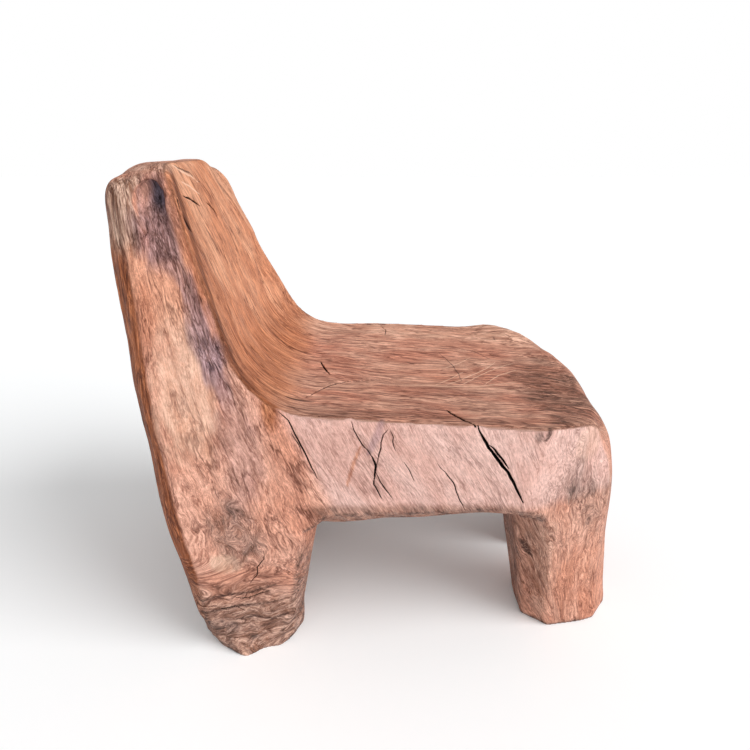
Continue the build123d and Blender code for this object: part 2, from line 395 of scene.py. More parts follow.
CRACKS = {
    "big_side": ("x", 5.0, 12, [(-112, 366), (-118, 351), (-127, 335), (-140, 318),
        (-152, 302), (-163, 284), (-171, 266), (-178, 252)]),
    "big_top": ("z", 5.5, 9, [(-183, -79), (-208, -88), (-234, -98), (-254, -111)]),
    "big_branch": ("x", 3.6, 6, [(-128, 338), (-136, 330), (-145, 318), (-155, 303)]),
    "fork_upper": ("x", 1.9, 4, [(49, 372), (41, 352), (34, 339), (27, 332), (17, 312)]),
    "fork_middle": ("x", 3.4, 6, [(22, 322), (16, 308), (18, 296), (19, 288)]),
    "fork_front": ("x", 2.1, 4, [(17, 300), (11, 285), (3, 270), (-6, 258)]),
    "fork_rear": ("x", 2.4, 4, [(19, 292), (20, 280), (14, 270), (8, 258)]),
    "fork_left": ("x", 1.9, 4, [(1, 360), (7, 352), (10, 339), (13, 324), (16, 309)]),
    "near_root": ("x", 2.7, 6, [(140, 383), (127, 372), (116, 348), (107, 325),
        (99, 306), (93, 290)]),
    "near_root_second": ("x", 1.7, 3, [(124, 358), (116, 341), (111, 326)]),
    "low_middle": ("x", 2.0, 4, [(-62, 312), (-74, 296), (-84, 283), (-89, 271),
        (-93, 258), (-102, 240)]),
    "low_rear": ("x", 1.7, 3, [(-18, 315), (-26, 302), (-34, 284)]),
    "short_rear": ("x", 1.8, 3, [(-1, 360), (-5, 350), (-6, 338), (-10, 328)]),
    "leg_wave": ("x", 1.8, 3, [(169, 180), (170, 163), (180, 149), (181, 136), (193, 120)]),
    "seat_long": ("z", 4.4, 7, [(-168, 112), (-131, 98), (-98, 84), (-81, 72), (-67, 54),
        (-62, 31), (-50, 8), (-39, -17)]),
    "seat_slot": ("z", 4.0, 8, [(22, 104), (-13, 95), (-46, 85)]),
    "back_upper": ("y", 3.6, 7, [(-142, 640), (-109, 633), (-62, 620)]),
    "back_second": ("y", 3.2, 7, [(-22, 623), (2, 611), (24, 597)]),
    "back_hole_upper": ("y", 8.0, 7, [(-184, 641), (-188, 633), (-191, 624)]),
    "back_hole_lower": ("y", 10.0, 8, [(-188, 620), (-184, 610), (-172, 598)]),
    "back_nick": ("y", 2.4, 4, [(-171, 652), (-168, 647)]),
    "back_mark_upper": ("y", 2.2, 3, [(134, 431), (138, 424)]),
    "back_mark_lower": ("z", 2.2, 3, [(80, 176), (68, 168)]),
    "far_edge": ("z", 5.0, 6, [(243, 36), (238, 16), (240, -6), (243, -14)]),
    "far_edge_tail": ("z", 1.8, 3, [(240, 4), (205, -6), (176, -4)]),
    "foot_upper": ("x", 2.0, 3, [(250, 86), (232, 80), (214, 84), (200, 74)]),
    "foot_lower": ("x", 2.2, 3, [(222, 100), (196, 96), (178, 104), (160, 110)]),
}
# axis: (its number, the side seen, the two axes seen, least place and facing of the side).
LOOKED_ALONG = {
    "x": (0, RIGHT, (1, 2), 120, 0.25),
    "z": (2, 1, (0, 1), 120, 0.25),
    "y": (1, -1, (0, 2), -400, 0.1),
}
LINE_REACH = 20.0  # a line changes nothing further than this outside its own box
OVER_ARRIS = 8.0  # a line on the back's face ends this far behind the arris
CRACK_MARGINS = (7.0, 4.0)  # how far round a line each round of refining reaches

# Lines of another tone. name: (tone, axis looked along, width, path), as above.
STROKES = {
    "split": ("pale", "y", 4.5, [(-145, 680), (-106, 669), (-48, 658), (-24, 650)]),
    "split_shadow": ("dark", "y", 3.4, [(-129, 680), (-113, 673), (-56, 664), (-10, 649)]),
    "split_low": ("pale", "y", 3.5, [(-120, 655), (-90, 648), (-40, 634)]),
    "scratch_long": ("pale", "z", 3.2, [(-70, -30), (-67, -64), (-66, -102), (-56, -147),
        (-34, -204)]),
    "scratch_first_arc": ("pale", "z", 2.6, [(-60, -92), (-13, -131), (29, -166), (69, -190)]),
    "scratch_second_arc": ("pale", "z", 2.4, [(-57, -114), (-8, -148), (34, -184), (68, -220)]),
    "scratch_third_arc": ("pale", "z", 2.4, [(-48, -153), (-2, -183), (31, -218)]),
    "scratch_fourth_arc": ("pale", "z", 2.0, [(-62, -76), (-22, -104), (14, -128)]),
    "scratch_fifth_arc": ("pale", "z", 2.0, [(26, -96), (58, -128), (88, -150)]),
    "furrow": ("dark", "z", 2.4, [(102, -97), (70, -108), (41, -115), (4, -119), (-30, -120)]),
    "furrow_second": ("dark", "z", 2.4, [(122, -161), (106, -172), (89, -181), (103, -204)]),
    "big_tail": ("dark", "z", 3.0, [(-187, -62), (-189, -77), (-205, -90)]),
    "near_streak": ("dark", "z", 4.0, [(-219, 57), (-220, 37), (-221, 18), (-222, -10)]),
    "near_smudge": ("dark", "z", 9.0, [(-191, 136), (-185, 118), (-182, 100)]),
    "seat_spot": ("dark", "z", 6.0, [(48, -38), (40, -50)]),
    "front_dark_near": ("dark", "z", 7.0, [(-128, -255), (-152, -280)]),
    "front_dark_far": ("dark", "z", 7.0, [(5, -258), (-16, -288)]),
    "front_dark_middle": ("dark", "z", 5.0, [(-72, -244), (-96, -258), (-96, -276)]),
    "corner_knot": ("dark", "x", 9.0, [(-205, 362), (-205, 352), (-200, 344)]),
    "flake": ("grey", "x", 15.0, [(9, 372), (15, 352), (22, 336), (26, 326)]),
    "orange_line": ("orange", "x", 6.0, [(37, 336), (46, 310), (54, 280)]),
    "foot_wave_high": ("dark", "x", 6.5, [(268, 92), (248, 99), (224, 104), (193, 107),
        (157, 119)]),
    "foot_wave_low": ("dark", "x", 6.5, [(262, 72), (250, 76), (215, 84), (177, 86), (149, 92)]),
    "foot_wave_last": ("dark", "x", 6.5, [(215, 60), (190, 66), (165, 58), (140, 68)]),
    "leg_knot": ("dark", "x", 13.0, [(-196, 150), (-205, 140), (-211, 128)]),
}
FINE_STROKE = 5.0  # strokes narrower than this have the skin refined round them too


def beside_path(points, normals, axis, path, seed):
    """The points near a path on its side of the chair, their distance and its taper."""
    across, side, plane, least_place, least_facing = LOOKED_ALONG[axis]
    path = np.array(path, float)
    flat = points[:, plane]
    near = (flat > path.min(0) - LINE_REACH) & (flat < path.max(0) + LINE_REACH)
    near = near.all(axis=1)
    if axis == "y":
        near &= points[:, 1] < line_y(BACK_ARRIS, points[:, 2]) + OVER_ARRIS
    if normals is None:
        near &= points[:, across] * side > least_place
    else:
        near &= normals[:, across] * side > least_facing
    wander = np.stack([noise(points[near], 9, start + seed) for start in (50, 90)], axis=1)
    away, along = path_distance(flat[near] + 0.9 * wander, path)
    taper = np.clip(np.sin(np.pi * np.clip(along, 0.02, 0.98)), 0, 1) ** 0.5
    return near, away, taper


def crack_depth(points, normals):
    """Depth of the cracks at each point."""
    depth = np.zeros(len(points))
    for seed, (axis, width, deep, path) in enumerate(CRACKS.values()):
        near, away, taper = beside_path(points, normals, axis, path, seed)
        half = width / 2 * (0.25 + 0.75 * taper)
        depth[near] = np.maximum(depth[near], deep * taper * smooth(1.0, 0.15, away / half))
    return depth


def stroked(points, normals, tone):
    """Share of the strokes of one tone at each point."""
    share = np.zeros(len(points))
    for seed, (kind, axis, width, path) in enumerate(STROKES.values()):
        if kind == tone:
            near, away, taper = beside_path(points, normals, axis, path, seed)
            half = width / 2 * (0.3 + 0.7 * taper)
            share[near] = np.maximum(share[near], smooth(1.2, 0.3, away / half))
    return share


def close_to_lines(points, margin):
    """Whether each point lies close to a crack or to a fine stroke."""
    close = np.zeros(len(points), bool)
    lines = [(axis, width, path) for axis, width, _, path in CRACKS.values()]
    lines += [line for _, *line in STROKES.values() if line[1] < FINE_STROKE]
    for seed, (axis, width, path) in enumerate(lines):
        near, away, _ = beside_path(points, None, axis, path, seed)
        close[near] |= away < width / 2 + margin
    return close


# ---------------- grain, stains and painted shade ---

# Knots that the grain flows round: (hand, y, z, radius).
KNOTS = [(RIGHT, 207, 205, 11), (RIGHT, -203, 356, 9), (RIGHT, -208, 145, 14),
    (RIGHT, 232, 44, 20), (LEFT, 236, 300, 12), (LEFT, -60, 300, 8)]
# (y at GRAIN_LEVEL, how far the grain leans there, mm of y for each mm of z).
GRAIN_LEANS = [(-350, 0.05), (-250, 0.12), (-180, 0.35), (-120, 0.58), (60, 0.55), (120, 0.4),
    (320, 0.1), (400, 0.08)]
GRAIN_LEVEL = 300.0
GRAIN_ROUNDS = 10  # rounds in which a point finds the fibre it lies on
# (distance along the face from the back's top, how far sideways the grain has turned).
BACK_GRAIN = [(0, 0), (60, 50), (130, 88), (250, 118), (400, 128), (500, 120), (900, 100)]
# (y, z, half width) down the stain that starts at the knot hollow.
STAIN = [(292, 655, 20), (290, 612, 30), (284, 592, 30), (263, 562, 14), (251, 538, 11),
    (241, 514, 12), (235, 490, 15), (228, 466, 17), (221, 445, 15), (212, 417, 12),
    (204, 392, 9), (198, 370, 5)]
# name: (centre, radii, share of the coarse and of the fine noise in its uneven edge).
PATCHES = {
    "back_root": ((-248, 150, 388), (50, 15, 36), 0, 0.4),
    "veil": ((-245, 190, 330), (60, 34, 130), 0.5, 0.3),
    "seat_front": ((-70, -262, 352), (210, 82, 60), 0.45, 0),
    "seat_middle": ((-105, -60, 350), (46, 170, 60), 0.5, 0),
    "rear_knot": ((-245, 207, 205), (60, 40, 60), 0.3, 0.5),
    "leg_oval": ((-205, -203, 150), (40, 13, 34), 0, 0.5),
    "shoulder_shade": ((-214, -262, 262), (60, 50, 38), 0.5, 0.3),
    "corner_knot": ((-246, -192, 349), (20, 7, 10), 0, 0.5),
    "scar": ((-236, 234, 42), (40, 26, 22), 0, 0.35),
    "leg_grey": ((-190, -300, 215), (70, 55, 75), 0.6, 0.3),
    "shoulder_highlight": ((-206, -268, 325), (40, 36, 30), 0, 0.5),
    "pale_low": ((-240, 256, 400), (70, 46, 110), 0.5, 0.4),
    "pale_foot": ((-240, 221, 156), (40, 24, 18), 0, 0.5),
    "raw_heel": ((-228, 206, 12), (40, 26, 18), 0, 0.6),
    "raw_toe": ((-208, 150, 18), (40, 16, 14), 0, 0.6),
}


def side_grain(points):
    """Coordinates across, through and along the grain of the sides."""
    x, y, z = points.T
    across = y.copy()
    for _ in range(GRAIN_ROUNDS):
        lean = np.interp(across, *zip(*GRAIN_LEANS))
        across = 0.5 * across + 0.5 * (y - lean * (z - GRAIN_LEVEL))
    for hand, knot_y, knot_z, radius in KNOTS:
        away = np.hypot(y - knot_y, (z - knot_z) * 0.75)
        bend = (y - knot_y) * radius**2 / np.clip(away, 0.8 * radius, None) ** 2
        across -= bend * smooth(5 * radius, radius, away) * smooth(0, 30, x * hand)
    # the grain sweeps round to lie level in the rear feet
    level = smooth(165, 95, z) * smooth(40, 90, y)
    wave = 16 * fractal(points, (90, 70, 60), seed=70)
    across += level * (210 - 1.1 * (z - 110) - 0.25 * (y - 210) + wave - across)
    along = z + level * (y - 100 - z)
    return np.stack([across, x, along], axis=1)


def top_grain(points, depth, along):
    """Coordinates across, through and along the grain of the back's face and the seat."""
    turned = np.interp(along, *zip(*BACK_GRAIN))
    across = points[:, 0] - turned + 12 * fractal(points, (150, 150, 150), seed=72, octaves=2)
    return np.stack([across, depth, along], axis=1)


def stain_share(points, normals):
    """The purple-grey stain that runs down from the knot hollow."""
    route = np.array(STAIN, float)
    shift = np.stack([fractal(points, (11, 11, 60), 31), fractal(points, 30, 32)], axis=1)
    away, along = path_distance(points[:, 1:] + 9 * shift, route[:, :2])
    lengths = np.linalg.norm(np.diff(route[:, :2], axis=0), axis=1)
    stops = np.concatenate([[0], np.cumsum(lengths)]) / lengths.sum()
    half = np.interp(along, stops, route[:, 2])
    fading = np.interp(along, [0, 0.35, 0.5, 0.75, 0.9, 1], [0.7, 0.6, 0.75, 1.0, 0.6, 0.2])
    return smooth(1.3, 0.5, away / half) * fading * side_facing(normals, RIGHT)


class Skin:
    """The skin's points with what its stains depend on, one value for each point."""

    def __init__(self, points, normals):
        self.points, self.normals = points, normals
        self.x, self.y, self.z = points.T
        self.right = side_facing(normals, RIGHT)
        self.side = np.maximum(self.right, side_facing(normals, LEFT))
        self.coarse = fractal(points, 46, seed=5)
        self.fine = fractal(points, (15, 15, 30), seed=6)
        self.fibrous = fractal(points, (7, 7, 60), seed=8, octaves=2)

        y, z = self.y, self.z
        self.behind = smooth(0.35, 0.75, normals[:, 1]) * smooth(150, 250, y) * smooth(0, 60, z)
        # painted shade on the downward chamfer along the seat's lower edge
        self.bevel = smooth(255, 242, z + 3 * self.fine) * smooth(-185, -165, y)
        self.bevel = self.bevel * smooth(115, 90, y) * self.side
        self.foot = smooth(185, 65, z + 35 * self.coarse) * smooth(90, 130, y)

    def patch(self, name):
        """An uneven patch, 1 in the middle and 0 outside its radii."""
        centre, radii, coarse, fine = PATCHES[name]
        outward = (self.points - centre) / radii
        ragged = coarse * self.coarse + fine * self.fine
        return smooth(1.1, 0.45, np.linalg.norm(outward, axis=1) + ragged)

    def strokes(self, tone):
        return stroked(self.points, self.normals, tone)


def surface_marks(s, depth, facing):
    """The face of back and seat, the seat alone, the seat's sides and the wane."""
    front_of_profile = (s.normals * facing).sum(axis=1)
    top = smooth(0.5, 0.66, front_of_profile + 0.06 * s.fine) * smooth(26, 14, depth)
    top *= smooth(295, 335, s.z + 12 * s.coarse)
    seat = top * smooth(165, 105, s.y + 10 * s.coarse)
    seat_side = smooth(108, 80, s.y - 0.45 * (s.z - 290)) * smooth(225, 250, s.z)
    seat_side *= np.maximum(s.right, 0.4 * s.side)
    wane_edge = s.y - line_y(WANE_LINE, s.z) + 3 * s.coarse + 2.5 * s.fibrous
    wane = smooth(-3, 3, wane_edge) * smooth(600, 560, s.z + 26 * s.coarse)
    wane *= smooth(0, 70, s.z + 20 * s.coarse) * 0.6 + 0.4
    wane = np.maximum(wane, 0.85 * s.behind)
    return {"top": top, "seat": seat, "seat_side": seat_side, "wane": wane}


def line_marks(s, cut, hollow, pit_shade):
    """The stain below the knot hollow, the shade painted in the hollow and in the cracks, and
    the strokes.
    """
    ruddy = 0.6 * smooth(278, 300, s.y + 0.16 * (s.z - 640)) * smooth(612, 640, s.z)
    stain = np.maximum(stain_share(s.points, s.normals), 0.8 * hollow) * (1 - ruddy)
    greyed = 0.6 * s.strokes("grey") + 0.32 * (s.patch("veil") * s.right)
    return {
        "stain": np.maximum(stain, greyed),
        # painted shade in the knot hollow
        "pit_shade": pit_shade * smooth(-0.5, 0.1, s.fibrous + smooth(600, 650, s.z)),
        # painted shade: the cracks darken with their depth
        "crack_shade": smooth(0.1, 1.5, cut),
        "pale": s.strokes("pale"),
        "dark": s.strokes("dark"),
    }


def arris_marks(s, top, seat):
    """Along the back's front arris: a lit ridge, a groove painted dark as shade, then a band on
    the face.
    """
    arris = s.y - line_y(BACK_ARRIS, s.z)
    inset = np.interp(s.z, [355, 680], [252, 190]) - np.abs(s.x)
    level = smooth(392, 415, s.z) * smooth(684, 664, s.z)
    ridge = smooth(18, 10, arris + 2 * s.fine) * s.right * level * (1 - top)
    groove_at = np.interp(s.z, [400, 520, 600, 680], [8, 10, 26, 30])
    groove_half = np.interp(s.z, [400, 520, 600, 680], [9, 11, 15, 13])
    groove_shade = smooth(1.2, 0.5, np.abs(inset + 5 * s.fine - groove_at) / groove_half)
    turn = smooth(3, 0, arris) * s.side * smooth(590, 620, s.z)
    band_width = np.interp(s.z, [420, 520, 600, 680], [120, 100, 60, 46])
    band = smooth(1.2, 0.75, (inset + 16 * s.fine) / band_width)
    # painted shade where the back's face curves down into the seat
    back_corner_shade = smooth(470, 400, s.z + 14 * s.coarse) * smooth(90, 130, s.y) * top
    ember_and_shade = 0.6 * ridge + 0.75 * back_corner_shade * (1 - seat) + 0.9 * s.patch("back_root") * s.side
    ember_and_shade = ember_and_shade + 0.35 * s.bevel + 0.7 * s.strokes("orange")
    return {
        # painted shade in the groove beside the arris
        "groove_shade": np.maximum(groove_shade * top, turn) * level * (s.x < 0),
        "band": band * (top * level * (s.x < 0)),
        "ember_and_shade": np.clip(ember_and_shade, 0, 1),
    }


def pale_marks(s, seat, hollow):
    """Where the wood is ashen, bleached or painted with a highlight, or raw and tan."""
    ash = s.right * smooth(560, 592, s.z + 10 * s.fibrous)
    ash *= smooth(298, 308, s.y + 3 * s.fibrous)
    crown = smooth(664, 676, s.z + 3 * s.fine) * smooth(240, 262, s.y)
    crown *= smooth(-120, -165, s.x)
    chewed = smooth(135, 85, s.z + 22 * s.coarse) * smooth(100, 140, s.y)
    chewed *= 1 - 0.6 * s.behind
    facet = smooth(-244, -232, s.y + 4 * s.fine) * smooth(-180, -192, s.y)
    facet = facet * smooth(215, 185, s.z) * smooth(-150, -180, s.x)
    ash = np.clip(ash + 0.6 * crown + 0.65 * chewed + 0.4 * facet, 0, 1) * (1 - hollow)

    # painted highlight: a paler patch on the seat's front shoulder; the rest is bleached wood
    bleach_and_highlight = 0.6 * s.patch("pale_low") * s.right + 0.3 * s.patch("shoulder_highlight")
    bleach_and_highlight = bleach_and_highlight + 0.75 * s.patch("pale_foot") * s.right
    bleach_and_highlight += 0.4 * (smooth(120, 200, s.x + 20 * s.coarse) * seat)

    mid_back = smooth(440, 500, s.z + 20 * s.coarse) * smooth(625, 590, s.z) * s.right
    raw = np.maximum(s.patch("raw_heel"), s.patch("raw_toe"))
    leg_raw = smooth(170, 110, s.z + 20 * s.coarse) * smooth(-205, -235, s.y) * 0.15
    tan = np.clip(0.6 * mid_back + 0.95 * raw + leg_raw, 0, 1)
    return {"ash": ash, "bleach_and_highlight": np.clip(bleach_and_highlight, 0, 1), "tan": tan}


def dirt_and_shade_marks(s, top, seat):
    """Where the wood is dirty, where shade is painted on faces turned down or away below the
    seat, or where its grain is wild.
    """
    y, z = s.y, s.z
    _, rearward, up = s.normals.T
    seat_edge = smooth(196, 234, -s.x + 14 * s.coarse) * seat
    seat_front = s.patch("seat_front") * top
    seat_middle = s.patch("seat_middle") * seat
    rear_knot = s.patch("rear_knot")
    # painted shade on the front legs' faces turned to the rear, into the gap under the seat
    leg_rear_shade = smooth(0.6, 0.9, rearward) * smooth(226, 200, z) * smooth(0, -100, y)
    # painted shade on faces turned down below the seat's edge
    underside_shade = smooth(-0.25, -0.6, up) * smooth(262, 242, z)
    # painted shade on the rear legs' faces turned to the front, under the seat
    rear_leg_front_shade = smooth(0.1, 0.5, -rearward) * smooth(215, 150, z) * smooth(60, 90, y)
    leg_low = smooth(300, 200, z + 40 * s.coarse) * smooth(-100, -160, y)
    leg_low *= 1 - 0.5 * s.right
    # real dirt, plus painted shade from the faces above, the shoulder_shade patch and the
    # chamfer
    dirt_and_shade = (
        0.6 * seat_edge + 0.92 * seat_front + 0.25 * seat_middle + 0.6 * s.foot
        + 0.85 * rear_knot * s.right + 0.6 * leg_rear_shade + 0.95 * underside_shade
        + 0.4 * s.patch("leg_oval") + 0.85 * rear_leg_front_shade
        + 0.6 * s.patch("shoulder_shade") + 0.9 * s.patch("corner_knot")
        + 0.9 * s.patch("scar") * s.right + 0.3 * leg_low + 0.5 * s.patch("leg_grey")
        + 0.75 * s.bevel + 0.12 * s.patch("shoulder_highlight")
    )
    low_back = smooth(320, 260, z + 20 * s.coarse) * smooth(100, 130, y)
    front_end = smooth(-195, -235, y + 8 * s.coarse) * (1 - top)
    churn = 0.3 * low_back + 0.5 * front_end + 0.4 * s.foot + 0.6 * rear_knot + 0.3 * seat_front
    return {"dirt_and_shade": np.clip(dirt_and_shade, 0, 1), "churn": np.clip(churn, 0, 1)}


def painted(s, depth, facing, cut, hollow, pit_shade):
    """The skin's stains and tones, with its painted shade and highlight, each from 0 to 1."""
    surfaces = surface_marks(s, depth, facing)
    top, seat = surfaces["top"], surfaces["seat"]
    return {
        **surfaces,
        **line_marks(s, cut, hollow, pit_shade),
        **arris_marks(s, top, seat),
        **pale_marks(s, seat, hollow),
        **dirt_and_shade_marks(s, top, seat),
    }


# ---------------- carving and parting ----------------

WORN_ROUNDS = 14  # rounds of smoothing over the whole skin
ROLLED_ROUNDS = 22  # more of them at the front end and at the back's top
BROAD_ROUNDS = 10  # rounds that take the small waves out of the normals


def worn_smooth(mesh):
    """The skin's positions, worn round at its edges; seat arrises and soles stay crisp."""
    points, edges = positions(mesh), edges_of(mesh)
    crisp = smooth(225, 245, np.abs(points[:, 0])) * smooth(330, 350, points[:, 2])
    crisp *= smooth(-250, -190, points[:, 1]) * smooth(170, 120, points[:, 1])
    grounded = smooth(4, 45, points[:, 2])
    sole = points[:, 2] < 0.5
    share = 0.5 * (1 - 0.8 * crisp) * (0.7 + 0.3 * grounded)
    points = relax(points, edges, WORN_ROUNDS, share)
    points[sole, 2] = 0
    soft = smooth(-170, -230, points[:, 1]) * 0.6 + smooth(620, 650, points[:, 2]) * 0.5
    return relax(points, edges, ROLLED_ROUNDS, soft * (1 - crisp) * grounded)


def carved_timber():
    """The finished skin, with its grain coordinates and marks as named attributes."""
    mesh = merged_skin()
    set_positions(mesh, dabbed(worn_smooth(mesh)))
    for margin in CRACK_MARGINS:
        refine(mesh, lambda p: close_to_lines(p, margin))

    points, normals = positions(mesh), normals_of(mesh)
    still = smooth(0, 6, points[:, 2])[:, None]
    lift = undulation(points) + fibres(points, normals) + arris_roll(points, normals)
    lift += torn_ends(points)
    sunk, hollow, pit_shade = knot_hollow(points, normals)
    points += still * normals * (lift - sunk)[:, None]
    points[:, 2] = np.maximum(points[:, 2], 0)
    set_positions(mesh, points)

    broad = relax(normals_of(mesh), edges_of(mesh), BROAD_ROUNDS, 0.6)
    broad /= np.linalg.norm(broad, axis=1)[:, None]
    cut = crack_depth(points, broad)
    along, depth, facing = along_profile(points)
    marks = painted(Skin(points, broad), depth, facing, cut, hollow, pit_shade)
    marks["side_grain"] = side_grain(points)
    marks["top_grain"] = top_grain(points, depth, along)
    set_positions(mesh, points - broad * cut[:, None])
    marks["whole_normal"] = normals_of(mesh)
    for name, values in marks.items():
        store(mesh, name, values)
    return mesh


def parting_planes():
    """Level of the legs' tops and place of the seat's rear end, where the skin is parted."""
    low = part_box("backrest")[0]
    return low.z - SOFFIT_SAG, low.y


def node_at(points):
    """Number of the CAD node, in the order of frame["nodes"], that holds each point."""
    level, root = parting_planes()
    x, y, z = points.T
    number = {name: place for place, name in enumerate(frame["nodes"])}
    block = np.where(y > root, number["backrest"], number["seat"])
    front = np.where(x > 0, number["front_leg_left"], number["front_leg_right"])
    rear = np.where(x > 0, number["rear_leg_left"], number["rear_leg_right"])
    return np.where(z > level, block, np.where(y > root, rear, front)).astype(np.int32)


def close_cuts(mesh):
    """Closes the flat cuts of a parted piece, and gives its skin the whole timber's normals."""
    with edited(mesh) as bm:
        rims = [e for e in bm.edges if e.is_boundary]
        for edge in rims:
            edge.smooth = False
        caps = bmesh.ops.triangle_fill(bm, edges=rims, use_beauty=False)["geom"]
        for face in caps:
            if isinstance(face, bmesh.types.BMFace):
                face.smooth = False
    whole = read(mesh.attributes["whole_normal"].data, "vector", 3)
    corner_normals = whole[read(mesh.loops, "vertex_index", 1, np.int32)[:, 0]]
    for face in mesh.polygons[-len(caps) :]:  # the new faces come last, and only they are flat
        if not face.use_smooth:
            corner_normals[face.loop_start : face.loop_start + face.loop_total] = face.normal
    mesh.normals_split_custom_set(corner_normals)
    mesh.attributes.remove(mesh.attributes["whole_normal"])


def part_timber(timber, material):
    """Parts the timber into one piece for each CAD node."""
    level, root = parting_planes()
    with edited(timber) as bm:
        for face in bm.faces:
            face.smooth = True
        for at, normal in (((0, 0, level), (0, 0, 1)), ((0, root, 0), (0, 1, 0))):
            everything = bm.verts[:] + bm.edges[:] + bm.faces[:]
            bmesh.ops.bisect_plane(bm, geom=everything, plane_co=at, plane_no=normal)
    for _ in frame["nodes"]:
        timber.materials.append(material)
    numbers = node_at(read(timber.polygons, "center", 3))
    timber.polygons.foreach_set("material_index", numbers)
    whole = placed("timber", timber)
    bpy.ops.object.select_all(action="DESELECT")
    bpy.context.view_layer.objects.active = whole
    whole.select_set(True)
    bpy.ops.mesh.separate(type="MATERIAL")
    for piece in list(bpy.context.selected_objects):
        first = np.array(piece.data.polygons[0].center)
        node = list(frame["nodes"])[node_at(first[None, :])[0]]
        piece.name = node + "_hewn"
        piece.data.name = node + "_hewn"
        piece.data.materials.clear()
        piece.data.materials.append(material)
        close_cuts(piece.data)
        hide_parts(node)
        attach(piece, "root")


# ---------------- materials ----------------


def colour(red, green, blue):
    """A colour given as it shows on screen, 0 to 255, in linear light."""
    shown = [c / 255 for c in (red, green, blue)]
    return [c / 12.92 if c <= 0.04045 else ((c + 0.055) / 1.055) ** 2.4 for c in shown] + [1]


MIX_SOCKETS = {"FLOAT": (2, 3, 0), "VECTOR": (4, 5, 1), "RGBA": (6, 7, 2)}  # ins, result


class Nodes:
    """Short names for the shader nodes that a material or a world is built from."""

    def __init__(self, owner):
        owner.use_nodes = True
        self.tree = owner.node_tree
        self.tree.nodes.clear()

    def node(self, kind, inputs=None, **settings):
        """A new node; each of its inputs, by name or number, gets a value or a link."""
        node = self.tree.nodes.new("ShaderNode" + kind)
        for key, value in settings.items():
            setattr(node, key, value)
        for socket, value in (inputs or {}).items():
            if isinstance(value, bpy.types.NodeSocket):
                self.tree.links.new(value, node.inputs[socket])
            else:
                node.inputs[socket].default_value = value
        return node.outputs

    def mark(self, name, kind="Fac"):
        return self.node("Attribute", attribute_name=name)[kind]

    def scaled(self, vector, factors):
        return self.node("VectorMath", {0: vector, 1: factors}, operation="MULTIPLY")[0]

    def moved(self, vector, by):
        return self.node("VectorMath", {0: vector, 1: by}, operation="ADD")[0]

    def texture(self, vector, sizes, shift, detail, roughness):
        """A noise node's outputs, with three wavelengths in the units of its vector."""
        at = self.moved(self.scaled(vector, [1 / s for s in sizes]), shift)
        inputs = {"Vector": at, "Scale": 1.0, "Detail": detail, "Roughness": roughness}
        return self.node("TexNoise", inputs)

    def noise(self, vector, sizes, detail, roughness, seed):
        """Noise of three wavelengths in millimetres."""
        shift = (seed, seed * 0.7, seed * 1.3)
        return self.texture(vector, sizes, shift, detail, roughness)["Fac"]

    def drift(self, vector, sizes, reach, seed=0.0):
        """A wandering shift, up to half of reach either way, of wavelengths sizes."""
        wander = self.texture(vector, sizes, (seed, seed, seed), 2.0, 0.5)["Color"]
        return self.scaled(self.moved(wander, (-0.5, -0.5, -0.5)), reach)

    def tones(self, value, low, high, dark, light):
        """From the dark to the light colour as a noise rises from low to high."""
        return self.mix(self.step(value, low, high), colour(*dark), colour(*light))

    def vary(self, base, value, share, dark, light):
        """Base multiplied by the dark or the light tint where a noise is low or high."""
        tint = self.mix(self.step(value, 0.3, 0.68), (*dark, 1), (*light, 1))
        return self.mix(share, base, tint, "MULTIPLY")

    def contour(self, value, width):
        """Thin lines where a noise crosses its middle."""
        away = self.math("ABSOLUTE", self.math("SUBTRACT", value, 0.5))
        return self.step(away, width, 0.0)

    def step(self, value, low, high, to_low=0.0, to_high=1.0):
        inputs = {"Value": value, "From Min": low, "From Max": high}
        inputs |= {"To Min": to_low, "To Max": to_high}
        return self.node("MapRange", inputs, interpolation_type="SMOOTHSTEP")["Result"]

    def math(self, operation, first, second=0.0):
        return self.node("Math", {0: first, 1: second}, operation=operation)[0]

    def times(self, first, second):
        return self.math("MULTIPLY", first, second)

    def larger(self, first, second):
        return self.math("MAXIMUM", first, second)

    def mixed(self, kind, share, first, second, blend="MIX"):
        first_in, second_in, result = MIX_SOCKETS[kind]
        inputs = {"Factor": share, first_in: first, second_in: second}
        return self.node("Mix", inputs, data_type=kind, blend_type=blend)[result]

    def mix(self, share, first, second, blend="MIX"):
        return self.mixed("RGBA", share, first, second, blend)

    def between(self, share, first, second):
        return self.mixed("FLOAT", share, first, second)


# noise: (wavelengths across, through and along the grain in mm, detail, roughness, seed).
NOISES = {
    "cloud": ((60, 60, 130), 4, 0.55, 0),
    "presence": ((30, 30, 60), 2, 0.5, 31),
    "sparse": ((18, 18, 40), 2, 0.5, 52),
    "mottle": ((15, 15, 36), 5, 0.7, 2),
    "short_streak": ((10, 10, 50), 4, 0.6, 0),
    "long_streak": ((5.5, 5.5, 150), 4, 0.65, 4),
    "short_fine": ((2.4, 2.4, 15), 3, 0.8, 9),
    "long_fine": ((2.8, 2.8, 36), 3, 0.8, 11),
    "lines": ((13, 13, 80), 3, 0.55, 14),
    "hairs": ((8, 8, 90), 3, 0.6, 17),
    "threads": ((6.5, 6.5, 36), 3, 0.6, 41),
}
GRIT = ((3.6, 3.6, 3.6), 4, 0.75, 61)  # as above, but off the grain


